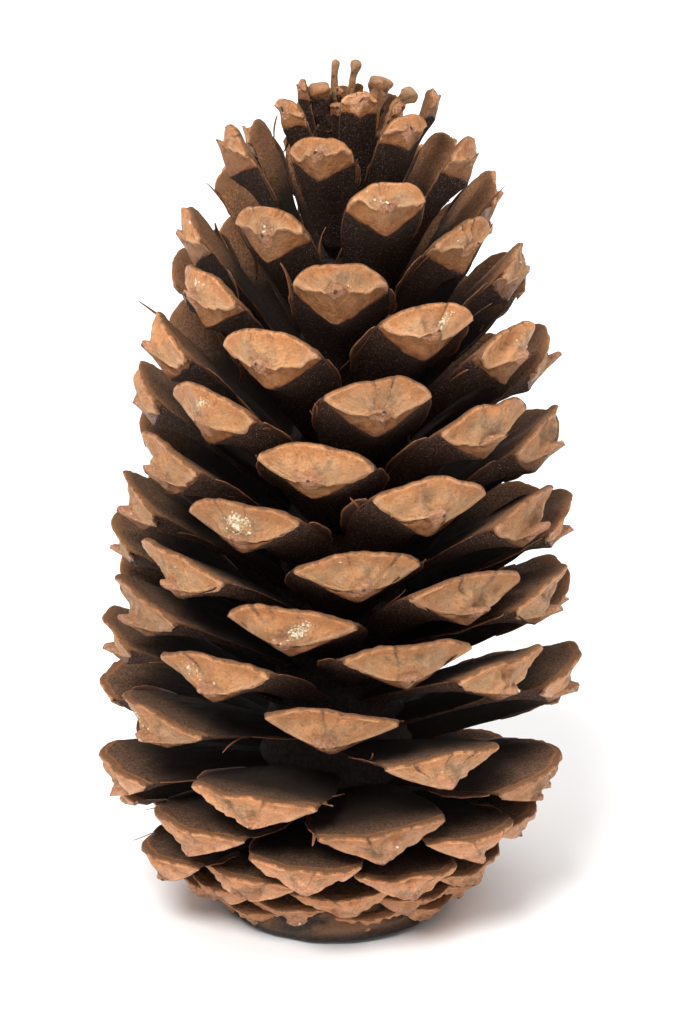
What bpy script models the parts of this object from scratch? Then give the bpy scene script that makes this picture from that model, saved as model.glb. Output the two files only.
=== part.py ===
"""An open, dry pine cone that stands on its base.

It grew as one piece: a woody axis with its scales in a spiral. The origin is the middle of the
base at the surface it stands on, +Z is up along the axis, and the viewer's side is -Y.
"""

import math
import random

import bmesh
import bpy

# Lengths below are in millimetres and angles in degrees. MM turns lengths into metres.
MM = 0.001

# The spiral. Each scale stands one golden angle on from the one below it.
GOLDEN_ANGLE = 137.508
FIRST_SCALE_TURN = 145.5
SCALE_COUNT = 154
RANDOM_SEED = 8

# The shape of the whole cone, from its lowest scale to its tip. Each row is the scale's number,
# the distance of its umbo from the axis, the umbo's height, the tilt of the scale's end above
# level, the scale's width from corner to corner, and how far it lags behind the spiral's rule.
NUMBER, REACH, HEIGHT, TILT, WIDTH, LAG = range(6)
CONE_PROFILE = [
    (0, 9.0, 0.4, -14, 6.4, 0),
    (12, 12.5, 0.4, -24, 8.8, 0),
    (20, 13.5, 1.2, -24, 9.6, 0),
    (33, 16.0, 3.8, -16, 10.7, 0),
    (46, 20.8, 8.6, -6, 12.1, 0),
    (56, 23.0, 14.0, 4, 13.4, 0),
    (62, 23.7, 20.2, 14, 13.7, 0),
    (68, 23.6, 26.8, 21, 13.6, 0),
    (88, 22.4, 42.0, 31, 13.0, 1),
    (109, 20.0, 59.2, 42, 11.7, 4),
    (122, 16.9, 70.3, 51, 9.8, 6),
    (130, 13.9, 78.0, 58, 8.3, 7),
    (136, 10.8, 82.9, 65, 6.6, 9),
    (142, 7.4, 86.2, 72, 4.2, 6),
    (148, 4.0, 87.6, 78, 2.4, 0),
    (153, 1.7, 88.6, 85, 1.2, 0),
]

# How far one scale may differ from the rule.
TURN_SPREAD = 2.0
TILT_SPREAD = 2.4
ROLL_SPREAD = 4.0
WIDTH_SPREAD = 0.04
REACH_SPREAD = 0.35

# The cone is this much wider, from its left to its right, than it is deep.
SIDE_STRETCH = 1.03

# It leans to its right: the share of the height, and the height that stays over the origin.
LEAN = 0.026
LEAN_HEIGHT = 50.0

# One scale, as shares of its width. The face is the exposed end, from the upper margin down to
# the umbo, and the keel is the ridge along the middle of the underside. The umbo of a closed
# scale hangs lower and further out than that of an open one.
CORNER_BACK_SHARE = 0.24
UMBO_BACK_SHARE = (0.02, 0.12)
UMBO_DEPTH_SHARE = (0.3, 0.27)
CLOSED_TILT = -10.0
OPEN_TILT = 30.0
KEEL_BACK_SHARE = 0.22
KEEL_DEPTH_SHARE = 0.14
DISH_SHARE = 0.05
SAG_SHARE = 0.03
MARGIN_BEND_SHARE = 0.45
NECK_BACK_SHARE = 0.08
ROOT_WIDTH_SHARE = 0.4
ROOT_DEPTH_SHARE = 0.11

LEAST_WALL = 0.7
LONGEST_SCALE = 26.0
ROOT_TILT_MORE = 8.0
ROOT_REACH = 4.2
ROOT_REACH_SHARE = 0.35

# The axis and the grown-together roots of the scales round it, as height and radius. Its foot is
# the flat scar where the stalk was, and its bulge fills the closed scales of the base.
AXIS_PROFILE = [
    (0, 3.4),
    (1.6, 4.2),
    (3.2, 8.4),
    (5.2, 12.4),
    (8.0, 14.2),
    (10.5, 12.8),
    (15.0, 9.4),
    (22.0, 7.6),
    (46.0, 6.8),
    (62.0, 5.2),
    (72.0, 3.7),
    (79.0, 2.2),
    (84.0, 0.9),
]
AXIS_SIDES = 10

# The slab that trims the base.
CUTTER_SIDE = 80.0
CUTTER_DEPTH = 20.0

BARK_BROWN = (0.24, 0.11, 0.05, 1.0)
BARK_ROUGHNESS = 0.62


def clear_scene():
    for obj in list(bpy.data.objects):
        bpy.data.objects.remove(obj)


def bark_material():
    material = bpy.data.materials.new("cone_bark")
    material.use_nodes = True
    shader = material.node_tree.nodes["Principled BSDF"]
    shader.inputs["Base Color"].default_value = BARK_BROWN
    shader.inputs["Roughness"].default_value = BARK_ROUGHNESS
    shader.inputs["Metallic"].default_value = 0.0
    return material


def profile_value(column, number):
    """The value in a column of CONE_PROFILE for a scale, on a smooth curve through the rows."""
    last = len(CONE_PROFILE) - 1
    i = 0
    while i < last - 1 and number > CONE_PROFILE[i + 1][NUMBER]:
        i += 1

    def slope(j):
        before, after = CONE_PROFILE[max(j - 1, 0)], CONE_PROFILE[min(j + 1, last)]
        return (after[column] - before[column]) / (after[NUMBER] - before[NUMBER])

    low, high = CONE_PROFILE[i], CONE_PROFILE[i + 1]
    span = high[NUMBER] - low[NUMBER]
    t = (number - low[NUMBER]) / span
    rise = high[column] - low[column]
    start, end = slope(i) * span, slope(i + 1) * span
    cubed = start + end - 2 * rise
    squared = 3 * rise - 2 * start - end
    return low[column] + t * (start + t * (squared + t * cubed))


def between(pair, share):
    """The value at a share of the way from the first of a pair to the second."""
    return pair[0] + (pair[1] - pair[0]) * min(max(share, 0), 1)


def leaned(x, y, height):
    """A point in metres, moved sideways with the lean of the cone."""
    return (x + LEAN * (height - LEAN_HEIGHT)) * MM, y * MM, height * MM


def scale_plan(number, draw):
    """Where a scale stands and how big it is."""
    width = profile_value(WIDTH, number) * (1 + WIDTH_SPREAD * draw.uniform(-1, 1))
    tilt = math.radians(profile_value(TILT, number) + TILT_SPREAD * draw.uniform(-1, 1))
    reach = profile_value(REACH, number) + REACH_SPREAD * draw.uniform(-1, 1)
    openness = (math.degrees(tilt) - CLOSED_TILT) / (OPEN_TILT - CLOSED_TILT)
    umbo_back = width * between(UMBO_BACK_SHARE, openness)
    umbo_depth = max(width * between(UMBO_DEPTH_SHARE, openness), LEAST_WALL)
    margin_reach = reach + umbo_back * math.cos(tilt) - umbo_depth * math.sin(tilt)
    margin_height = profile_value(HEIGHT, number) + umbo_back * math.sin(tilt) + umbo_depth * math.cos(tilt)
    bend = math.radians(ROOT_TILT_MORE) * math.cos(tilt)
    root_reach = min(ROOT_REACH, ROOT_REACH_SHARE * margin_reach)
    length = (margin_reach - root_reach) / math.cos(tilt + bend / 2)
    turn = FIRST_SCALE_TURN + GOLDEN_ANGLE * number - profile_value(LAG, number)
    return {
        "turn": math.radians(turn + TURN_SPREAD * draw.uniform(-1, 1)),
        "roll": math.radians(ROLL_SPREAD * draw.uniform(-1, 1)),
        "tilt": tilt,
        "bend": bend,
        "width": width,
        "length": min(length, LONGEST_SCALE),
        "margin": (margin_reach, margin_height),
        "umbo_back": umbo_back,
        "umbo_depth": umbo_depth,
        "keel_back": umbo_back + KEEL_BACK_SHARE * width,
        "keel_depth": umbo_depth + KEEL_DEPTH_SHARE * width * max(math.sin(tilt), 0),
    }


def scale_point(plan, across, back, lift):
    """A point of a scale, from its place across it, back from its margin, and above its top."""
    share = back / plan["length"]
    mean_tilt = plan["tilt"] + plan["bend"] * share / 2
    tilt = plan["tilt"] + plan["bend"] * share
    side = across * math.cos(plan["roll"]) - lift * math.sin(plan["roll"])
    over = across * math.sin(plan["roll"]) + lift * math.cos(plan["roll"])
    reach = plan["margin"][0] - back * math.cos(mean_tilt) - over * math.sin(tilt)
    height = plan["margin"][1] - back * math.sin(mean_tilt) + over * math.cos(tilt)
    turn = plan["turn"]
    x = (reach * math.sin(turn) + side * math.cos(turn)) * SIDE_STRETCH
    y = -reach * math.cos(turn) + side * math.sin(turn)
    return leaned(x, y, height)


def scale_ring(plan, half_width, corner_back, middle_back, keel_back, keel_depth):
    """Seven points round a scale: four across its top, then its underside's edges and keel."""
    sag = SAG_SHARE * plan["width"]
    points = []
    for share in (-1, -MARGIN_BEND_SHARE, MARGIN_BEND_SHARE, 1):
        back = middle_back + (corner_back - middle_back) * share * share
        points.append(scale_point(plan, share * half_width, back, -sag * share * share))
    for across, back, depth in (
        (half_width, corner_back, sag + LEAST_WALL),
        (0, keel_back, max(keel_depth, sag + LEAST_WALL)),
        (-half_width, corner_back, sag + LEAST_WALL),
    ):
        points.append(scale_point(plan, across, back, -depth))
    return points


def solid_from_rings(name, rings, material, tip=None):
    """A closed mesh object through rings of points. Its last ring meets in the tip, if there is one."""
    shape = bmesh.new()
    loops = [[shape.verts.new(point) for point in ring] for ring in rings]
    for low, high in zip(loops, loops[1:]):
        for j in range(len(low)):
            k = (j + 1) % len(low)
            shape.faces.new((low[j], low[k], high[k], high[j]))
    shape.faces.new(loops[0])
    last = loops[-1]
    if tip is None:
        shape.faces.new(last)
    else:
        middle = shape.verts.new(tip)
        for j in range(len(last)):
            shape.faces.new((last[j], last[(j + 1) % len(last)], middle))
    bmesh.ops.triangulate(shape, faces=shape.faces)
    bmesh.ops.recalc_face_normals(shape, faces=shape.faces)
    mesh = bpy.data.meshes.new(name)
    shape.to_mesh(mesh)
    shape.free()
    mesh.materials.append(material)
    return bpy.data.objects.new(name, mesh)


def scale_object(number, plan, material):
    """One scale, from its root inside the axis to its dished face."""
    width, length = plan["width"], plan["length"]
    corner_back = CORNER_BACK_SHARE * width
    neck_back = corner_back + NECK_BACK_SHARE * width
    half = width / 2
    rings = [
        scale_ring(plan, half * ROOT_WIDTH_SHARE, length, length, length, ROOT_DEPTH_SHARE * width),
        scale_ring(plan, half, neck_back, neck_back, plan["keel_back"], plan["keel_depth"]),
        scale_ring(plan, half, corner_back, 0, plan["umbo_back"], plan["umbo_depth"]),
    ]
    dish_back = plan["umbo_back"] / 2 + DISH_SHARE * width
    dish = scale_point(plan, 0, dish_back, -plan["umbo_depth"] / 2)
    return solid_from_rings(f"scale_{number:03d}", rings, material, dish)


def axis_object(material):
    """The woody axis, turned from its profile."""
    rings = []
    for height, radius in AXIS_PROFILE:
        turns = [math.tau * side / AXIS_SIDES for side in range(AXIS_SIDES)]
        rings.append([leaned(radius * math.cos(a), radius * math.sin(a), height) for a in turns])
    return solid_from_rings("pine_cone", rings, material)


def ground_cutter():
    """A slab below the surface that the cone stands on, which trims its base flat."""
    bpy.ops.mesh.primitive_cube_add(size=1)
    cutter = bpy.context.object
    cutter.name = "ground_cutter"
    cutter.dimensions = (CUTTER_SIDE * MM, CUTTER_SIDE * MM, CUTTER_DEPTH * MM)
    cutter.location.z = -CUTTER_DEPTH / 2 * MM
    cutter.display_type = "WIRE"
    cutter.hide_render = True
    bpy.context.view_layer.update()
    return cutter


def settle(obj):
    """Makes the object's modifiers part of its mesh."""
    graph = bpy.context.evaluated_depsgraph_get()
    mesh = bpy.data.meshes.new_from_object(obj.evaluated_get(graph))
    obj.modifiers.clear()
    obj.data = mesh


def main():
    clear_scene()
    draw = random.Random(RANDOM_SEED)
    material = bark_material()
    cone = axis_object(material)
    bpy.context.scene.collection.objects.link(cone)
    scales = bpy.data.collections.new("scales")
    bpy.context.scene.collection.children.link(scales)
    for number in range(SCALE_COUNT):
        scales.objects.link(scale_object(number, scale_plan(number, draw), material))

    fuse = cone.modifiers.new("fuse_scales", "BOOLEAN")
    fuse.operation = "UNION"
    fuse.operand_type = "COLLECTION"
    fuse.collection = scales
    fuse.solver = "EXACT"
    cutter = ground_cutter()
    trim = cone.modifiers.new("flat_base", "BOOLEAN")
    trim.operation = "DIFFERENCE"
    trim.object = cutter
    trim.solver = "EXACT"
    settle(cone)
    for obj in list(scales.objects):
        bpy.data.objects.remove(obj)
    bpy.data.collections.remove(scales)
    bpy.data.objects.remove(cutter)
    print(f"pine_cone: {SCALE_COUNT} scales, {len(cone.data.polygons)} faces")


main()
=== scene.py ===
# An open, dry pine cone that stands on its base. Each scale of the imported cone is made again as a
# fine mesh from the same spiral and the same profile, then given its bark, core, wings and resin.
import math
import random

import bpy
import numpy as np
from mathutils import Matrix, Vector


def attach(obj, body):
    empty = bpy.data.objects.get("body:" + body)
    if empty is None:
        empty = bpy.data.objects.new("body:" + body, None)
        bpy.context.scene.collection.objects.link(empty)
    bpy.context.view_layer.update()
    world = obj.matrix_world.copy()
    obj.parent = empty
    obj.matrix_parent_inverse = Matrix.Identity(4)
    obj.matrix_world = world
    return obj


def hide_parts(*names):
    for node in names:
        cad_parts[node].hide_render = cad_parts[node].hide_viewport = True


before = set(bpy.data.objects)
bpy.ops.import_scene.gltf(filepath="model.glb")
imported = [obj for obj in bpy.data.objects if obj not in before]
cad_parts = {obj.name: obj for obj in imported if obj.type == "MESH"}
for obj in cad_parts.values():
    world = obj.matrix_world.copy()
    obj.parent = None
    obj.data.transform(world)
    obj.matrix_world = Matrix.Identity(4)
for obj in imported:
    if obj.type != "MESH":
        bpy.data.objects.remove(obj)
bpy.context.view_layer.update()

mm = 0.001

# The spiral and the outline of the whole cone, in millimetres and degrees. A row of the profile is
# a scale's number, its umbo's reach and height, the tilt of its end, its width and its lag.
coneShape = {
    "goldenAngle": 137.508,
    "firstTurn": 145.5,
    "scaleCount": 154,
    "seed": 8,
    "sideStretch": 1.03,
    "lean": 0.026,
    "leanHeight": 50.0,
    "profile": [
        (0, 9.0, 0.4, -14, 6.4, 0),
        (12, 12.5, 0.4, -24, 8.8, 0),
        (20, 13.5, 1.2, -24, 9.6, 0),
        (33, 16.0, 3.8, -16, 10.7, 0),
        (46, 20.8, 8.6, -6, 12.1, 0),
        (56, 23.0, 14.0, 4, 13.4, 0),
        (62, 23.7, 20.2, 14, 13.7, 0),
        (68, 23.6, 26.8, 21, 13.6, 0),
        (88, 22.4, 42.0, 31, 13.0, 1),
        (109, 20.0, 59.2, 42, 11.7, 4),
        (122, 16.9, 70.3, 51, 9.8, 6),
        (130, 13.9, 78.0, 58, 8.3, 7),
        (136, 10.8, 82.9, 65, 6.6, 9),
        (142, 7.4, 86.2, 72, 4.2, 6),
        (148, 4.0, 87.6, 78, 2.4, 0),
        (153, 1.7, 88.6, 85, 1.2, 0),
    ],
    "turnSpread": 2.0,
    "tiltSpread": 2.4,
    "rollSpread": 4.0,
    "widthSpread": 0.04,
    "reachSpread": 0.35,
    "leastWall": 0.7,
    # the last scales hide among the others, and those behind are a little shorter
    "tipFrom": 146,
    "tipDrop": 2.6,
    "crownFrom": 116,
    "crownDrop": 3.2,
    "hanging": {43: 1.9, 44: -0.4, 59: 0.5, 132: -1.7, 136: 1.6, 137: 0.9},
}


def profileValue(column, number):
    # A smooth curve through the rows of the profile.
    rows = coneShape["profile"]
    last = len(rows) - 1
    i = 0
    while i < last - 1 and number > rows[i + 1][0]:
        i += 1

    def slope(j):
        before, after = rows[max(j - 1, 0)], rows[min(j + 1, last)]
        return (after[column] - before[column]) / (after[0] - before[0])

    low, high = rows[i], rows[i + 1]
    span = high[0] - low[0]
    t = (number - low[0]) / span
    rise = high[column] - low[column]
    start, end = slope(i) * span, slope(i + 1) * span
    return low[column] + t * (start + t * (3 * rise - 2 * start - end + t * (start + end - 2 * rise)))


# One scale. Shares are of its width. A pair is for a closed scale and for an open one.
scaleShape = {
    "cornerBack": 0.24,
    "umboBack": (0.02, 0.12),
    "umboDepth": (0.3, 0.27),
    "closedTilt": -10.0,
    "openTilt": 30.0,
    "keelBack": 0.22,
    "keelDepth": 0.14,
    "sag": 0.03,
    "rootWidth": 0.4,
    "rootDepth": 0.11,
    "rootTiltMore": 8.0,
    "rootReach": 4.2,
    "rootReachShare": 0.35,
    "longest": 26.0,
    # the finer forms
    "faceWidth": (0.95, 0.88),  # of the width of the body behind it, on open and on upright scales
    "cornerRound": (0.1, 0.75),  # on closed and on upright scales
    "uprightTilt": (30.0, 54.0),
    "paintTilt": (36.0, 54.0),  # where the colours of an upright scale begin and are full
    "uprightKeel": 0.22,    # how much further back the lower face reaches on upright scales
    "edge": (0.35, 1.0),    # thickness of the side edges, mm, on the body and at the face
    "blade": 0.17,          # depth of the body behind the face
    "sideSwell": 0.075,     # how far the papery sides swell behind the corners
    "spoon": 0.03,          # hollow of the upper side behind the margin
    "dish": (0.0, 0.075),   # hollow of the face
    "uprightBulge": 0.12,   # how far the umbo of an upright scale stands out
    "closedFall": 0.05,     # how full a closed scale's face is beside its umbo
    "lip": 0.014,           # rolled lip along the margin
    "blunt": (0.25, 0.42),  # radius of the margin's upper edge, mm, on closed and on open scales
    "ridgeBow": 0.55,       # how far the keel from corner to umbo bows down towards the lower edge
    "ridgeRaise": (0.026, 0.045),  # how far that keel stands out, on open and on upright scales
    "umboLower": 0.34,      # how far the umbo sits down towards the lower edge
    "lowerSkew": 0.16,      # how far the lowest point lies off the middle
    "creaseDepth": 0.03,
    "creaseWidth": 0.045,
    "marginWave": 0.013,
    "marginSkew": 0.3,      # how far the top of the margin lies off the middle
    "dents": (0.024, 0.06),  # on open and on upright scales
    "wrinkle": 0.15,        # small folds of the face, mm
    "umboRaise": (0.014, 0.052),
    "umboShare": 0.74,      # where the umbo starts, from margin 0 to its middle 1
    "beak": (0.006, 0.024),
}


def limited(share):
    return min(max(share, 0), 1)


def between(pair, share):
    return pair[0] + (pair[1] - pair[0]) * limited(share)


def tiltShare(plan, limits):
    # How far a scale stands up between two tilts, from 0 to 1
    low, high = limits
    return limited((math.degrees(plan["tilt"]) - low) / (high - low))


def planScale(number, draw):
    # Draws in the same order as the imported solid, so that each scale lies on its solid.
    s, c = scaleShape, coneShape
    width = profileValue(4, number) * (1 + c["widthSpread"] * draw.uniform(-1, 1))
    tilt = math.radians(profileValue(3, number) + c["tiltSpread"] * draw.uniform(-1, 1))
    reach = profileValue(1, number) + c["reachSpread"] * draw.uniform(-1, 1)
    openness = (math.degrees(tilt) - s["closedTilt"]) / (s["openTilt"] - s["closedTilt"])
    umboBack = width * between(s["umboBack"], openness)
    umboDepth = max(width * between(s["umboDepth"], openness), c["leastWall"])
    marginReach = reach + umboBack * math.cos(tilt) - umboDepth * math.sin(tilt)
    marginHeight = profileValue(2, number) + umboBack * math.sin(tilt) + umboDepth * math.cos(tilt)
    bend = math.radians(s["rootTiltMore"]) * math.cos(tilt)
    rootReach = min(s["rootReach"], s["rootReachShare"] * marginReach)
    length = (marginReach - rootReach) / math.cos(tilt + bend / 2)
    turn = c["firstTurn"] + c["goldenAngle"] * number - profileValue(5, number)
    turn = math.radians(turn + c["turnSpread"] * draw.uniform(-1, 1))
    if number >= c["tipFrom"]:
        marginHeight -= c["tipDrop"]
    elif number >= c["crownFrom"]:
        behind = limited(0.3 - math.cos(turn)) * min((number - c["crownFrom"]) / 10, 1)
        marginHeight -= c["crownDrop"] * behind
        width *= 1 - 0.08 * behind
    marginHeight -= c["hanging"].get(number, 0)
    return {
        "number": number,
        "turn": turn,
        "roll": math.radians(c["rollSpread"] * draw.uniform(-1, 1)),
        "tilt": tilt,
        "bend": bend,
        "width": width,
        "length": min(length, s["longest"]),
        "marginReach": marginReach,
        "marginHeight": marginHeight,
        "openness": limited(openness),
        "umboBack": umboBack,
        "umboDepth": umboDepth,
        "keelBack": umboBack + s["keelBack"] * width,
        "keelDepth": umboDepth + s["keelDepth"] * width * max(math.sin(tilt), 0),
    }


def leaned(x, y, height):
    # The whole cone leans a little to its right.
    x = x + coneShape["lean"] * (height - coneShape["leanHeight"])
    return np.stack([x, y, np.maximum(height, 0)], axis=-1) * mm


def placeOnCone(plan, across, back, lift):
    # From a scale's own across, back and lift, in mm, to the cone's x, y and z in metres.
    share = back / plan["length"]
    meanTilt = plan["tilt"] + plan["bend"] * share / 2
    tilt = plan["tilt"] + plan["bend"] * share
    side = across * math.cos(plan["roll"]) - lift * math.sin(plan["roll"])
    over = across * math.sin(plan["roll"]) + lift * math.cos(plan["roll"])
    reach = plan["marginReach"] - back * np.cos(meanTilt) - over * np.sin(tilt)
    height = plan["marginHeight"] - back * np.sin(meanTilt) + over * np.cos(tilt)
    turn = plan["turn"]
    x = (reach * math.sin(turn) + side * math.cos(turn)) * coneShape["sideStretch"]
    y = -reach * math.cos(turn) + side * math.sin(turn)
    return leaned(x, y, height)


def waves(draw, count, low, high):
    # A seeded sum of sines, about -1 to 1, used for wavy margins and uneven surfaces.
    parts = []
    for _ in range(count):
        a, b = draw.uniform(low, high), draw.uniform(low, high) * draw.choice((-1, 1))
        parts.append((a, b, draw.uniform(0, math.tau)))
    return lambda a, b: sum(np.sin(a * p + b * q + r) for p, q, r in parts) / count ** 0.5


def scaleSurface(plan, draw, topPoints, bodyRings, faceRings):
    # Rings run from the root to the edge of the face, then close in over the face to its umbo.
    s = scaleShape
    width, length = plan["width"], plan["length"]
    standing = tiltShare(plan, s["uprightTilt"])
    half = width / 2 * between(s["faceWidth"], standing)
    keelBack = plan["keelBack"] + s["uprightKeel"] * width * standing
    even = np.linspace(-1, 1, topPoints)
    onTopT = even * (1.2 - 0.2 * even ** 2)
    t = np.concatenate([onTopT, onTopT[1:-1][::-1]])
    top = np.concatenate([np.ones(topPoints), np.zeros(topPoints - 2)])
    size = np.abs(t)
    skew = draw.uniform(-1, 1) * s["marginSkew"]
    corner = width * s["cornerBack"] * np.where(t < 0, draw.uniform(0.8, 1.15), draw.uniform(0.8, 1.15))
    sag = s["sag"] * width * t ** 2

    creaseAt = [draw.uniform(-0.42, -0.14), draw.uniform(0.12, 0.42)]
    if draw.random() < 0.3:
        creaseAt.append(draw.uniform(0.5, 0.65) * draw.choice((-1, 1)))
    creaseSize = [draw.uniform(0.5, 1.2) for _ in creaseAt]
    crease = top * sum(k * np.exp(-((t - at) / s["creaseWidth"]) ** 2) for k, at in zip(creaseSize, creaseAt))
    wave, liftWave = waves(draw, 5, 2.0, 9.0), waves(draw, 4, 2.0, 7.0)
    fade = 1 - size ** 4
    cornerRound = between(s["cornerRound"], 0.6 * plan["openness"] + 0.4 * standing)
    rounded = 1 - (1 - size ** 3) ** 0.7
    marginWave = s["marginWave"] * wave(t, 0 * t) * fade + 0.006 * crease
    marginBack = corner * (size ** 2.2 + cornerRound * (rounded - size ** 2.2)) + width * marginWave
    arch = (1 - t ** 2) * (1 + skew * 2 * t)
    liftWaves = s["marginWave"] * (liftWave(t, 0 * t) - 0.5 * crease) * fade
    marginLift = width * (liftWaves + 0.05 * (arch - (1 - t ** 2)))
    lowerSize = np.abs(t - draw.uniform(-1, 1) * s["lowerSkew"] * (1 - t ** 2))
    cornerWay = lowerSize ** 1.45 + 0.35 * cornerRound * (1 - (1 - size ** 4) ** 0.6 - size ** 1.35)
    underBack = keelBack + (corner - keelBack) * cornerWay
    endBack = np.where(top > 0, marginBack, underBack)

    rings, marks = [], []
    uneven, dents = waves(draw, 9, 1.2, 4.5), waves(draw, 8, 0.5, 1.6)
    crumbs = waves(draw, 12, 5.0, 13.0)
    for q in np.linspace(0, 1, bodyRings):
        r = 1 - (1 - q) ** 2
        swell = s["sideSwell"] * math.sin(math.pi * limited((r - 0.45) / 0.55)) * plan["openness"]
        ringHalf = half * (s["rootWidth"] + (1 - s["rootWidth"]) * (1 - (1 - r) ** 1.7) + swell)
        back = length + (endBack - length) * r
        thick = s["rootDepth"] + (s["blade"] - s["rootDepth"]) * r
        depth = width * thick * (1 - r ** 5) + plan["keelDepth"] * r ** 5
        sharpness = 2.2 - 0.9 * r
        edge = min(between(s["edge"], r ** 14 * (0.4 + 0.6 * plan["openness"])), 0.4 * plan["umboDepth"])
        rounding = edge / 2 * (np.maximum(1 - t ** 2, 0) ** 0.35 - 1)
        blunt = min(between(s["blunt"], plan["openness"]), 0.3 * plan["umboDepth"])
        inside = np.clip((back - endBack) / (1.6 * blunt), 0, 1)
        dropped = blunt * (1 - np.sqrt(1 - (1 - inside) ** 2))
        upper = rounding - sag + marginLift * r ** 8 - dropped
        upper = upper - s["spoon"] * width * (1 - t ** 2) * math.sin(math.pi * r ** 3)
        under = -edge / 2 - sag - (depth - edge / 2) * (1 - size ** sharpness) + 0.4 * dropped
        under = np.minimum(under, upper - 0.02)
        lift = np.where(top > 0, upper, under) + 0.04 * uneven(t * ringHalf, back)
        rings.append((t * ringHalf, back, lift))
        marks.append((-(back - endBack), top, t, np.full_like(t, 99.0), crease * r ** 8, back))

    endAcross, endBackNow, endLift = rings[-1]
    poleAcross = width * draw.uniform(-0.05, 0.05)
    fallBack = keelBack - plan["umboBack"]
    fallLift = plan["umboDepth"] - plan["keelDepth"] + edge / 2
    poleBack = plan["umboBack"] + s["umboLower"] * fallBack - s["uprightBulge"] * width * standing
    poleLift = -plan["umboDepth"] + s["umboLower"] * fallLift
    bow = s["ridgeBow"] * (1 - 0.85 * standing ** 2) * np.where(top > 0, size ** 4, size ** 1.3)
    openBow = fallBack * plan["openness"]
    fullBow = s["closedFall"] * width * (1 - plan["openness"]) / s["ridgeBow"]
    ridge = width * between(s["ridgeRaise"], standing) * np.where(top > 0, size ** 12, size ** 6)
    beak = width * between(s["beak"], plan["openness"]) * draw.uniform(0.7, 1.3)
    umboRaise = between(s["umboRaise"], plan["openness"]) * width * draw.uniform(0.7, 1.3)
    dish = width * between(s["dish"], plan["openness"]) * (1 - standing)
    toPole = (endAcross - poleAcross, endBackNow - poleBack, endLift - poleLift)
    reachToPole = np.sqrt(toPole[0] ** 2 + toPole[1] ** 2 + toPole[2] ** 2)
    middle = np.where(top > 0, 1 - t ** 2, 0)
    for f in np.linspace(0, 1, faceRings + 1)[1:]:
        arch = 4 * f * (1 - f)
        boss = 1 / (1 + math.exp(-(f - s["umboShare"] - 0.05) * 45))
        moat = math.exp(-((f - s["umboShare"]) / 0.05) ** 2)
        across = endAcross + (poleAcross - endAcross) * f
        back = endBackNow + (poleBack - endBackNow) * f + bow * arch * openBow - ridge * arch
        lift = endLift + (poleLift - endLift) * f + bow * arch * (fallLift - fullBow)
        scoop = math.sin(math.pi * f ** 0.75) * dish * middle
        groove = s["creaseDepth"] * width * crease * (1 - f) ** 1.5 * min(0.4 + 3 * f, 1)
        push = umboRaise * (boss - 0.5 * moat) + beak * f ** 3
        push = push + s["lip"] * width * math.exp(-((f - 0.07) / 0.05) ** 2) * top
        push = push + between(s["dents"], standing) * width * dents(across, lift * 1.6) * min(5 * f, 1)
        push = push + s["wrinkle"] * uneven(across * 1.2 + 3, (lift + back) * 0.8) * min(6 * f, 1)
        back = back + scoop + groove - push
        lift = lift - 0.5 * beak * f ** 3
        back = back + 0.05 * uneven(across + 7, lift * 1.4) * min(4 * f, 1)
        back = back + 0.07 * boss * crumbs(across, lift) * (1 - f) ** 0.5
        rings.append((across, back, lift))
        marks.append((f * reachToPole, top, t, (1 - f) * reachToPole, crease * max(1 - 1.25 * f, 0), back))
    return rings, marks


# first and last scale, points along the margin, rings of the body and rings of the face
barkBands = {
    "footScales": (0, 29, 27, 14, 12),
    "baseScales": (30, 57, 39, 20, 18),
    "lowerScales": (58, 85, 39, 20, 18),
    "middleScales": (86, 113, 39, 20, 18),
    "upperScales": (114, 135, 39, 20, 18),
    "crownScales": (136, 153, 27, 16, 12),
}
markNames = ("faceReach", "upperSide", "acrossShare", "umboReach", "crease", "backReach")
wholeNames = ("scaleLuck", "openShare", "uprightShare")


def meshFromRings(faces, start, rings, ringSize, closeEnd=True):
    # Adds the faces of one lofted piece, whose points start at the given count.
    for i in range(rings - 1):
        a = start + i * ringSize
        for j in range(ringSize):
            k = (j + 1) % ringSize
            faces.append((a + j, a + ringSize + j, a + ringSize + k, a + k))
    faces.append(tuple(start + j for j in range(ringSize)))
    if closeEnd:
        faces.append(tuple(start + (rings - 1) * ringSize + j for j in range(ringSize))[::-1])


def newPiece(name, points, faces, material, marks=None):
    mesh = bpy.data.meshes.new(name)
    mesh.from_pydata([tuple(p) for p in points], [], faces)
    mesh.validate()
    for markName, values in (marks or {}).items():
        mark = mesh.attributes.new(markName, "FLOAT", "POINT")
        mark.data.foreach_set("value", np.asarray(values, dtype=np.float32).ravel())
    mesh.polygons.foreach_set("use_smooth", [True] * len(mesh.polygons))
    mesh.materials.append(material)
    piece = bpy.data.objects.new(name, mesh)
    bpy.context.scene.collection.objects.link(piece)
    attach(piece, "root")
    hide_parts("pine_cone")
    print("made", name, len(faces), "faces")


scaleRings = {}


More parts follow.
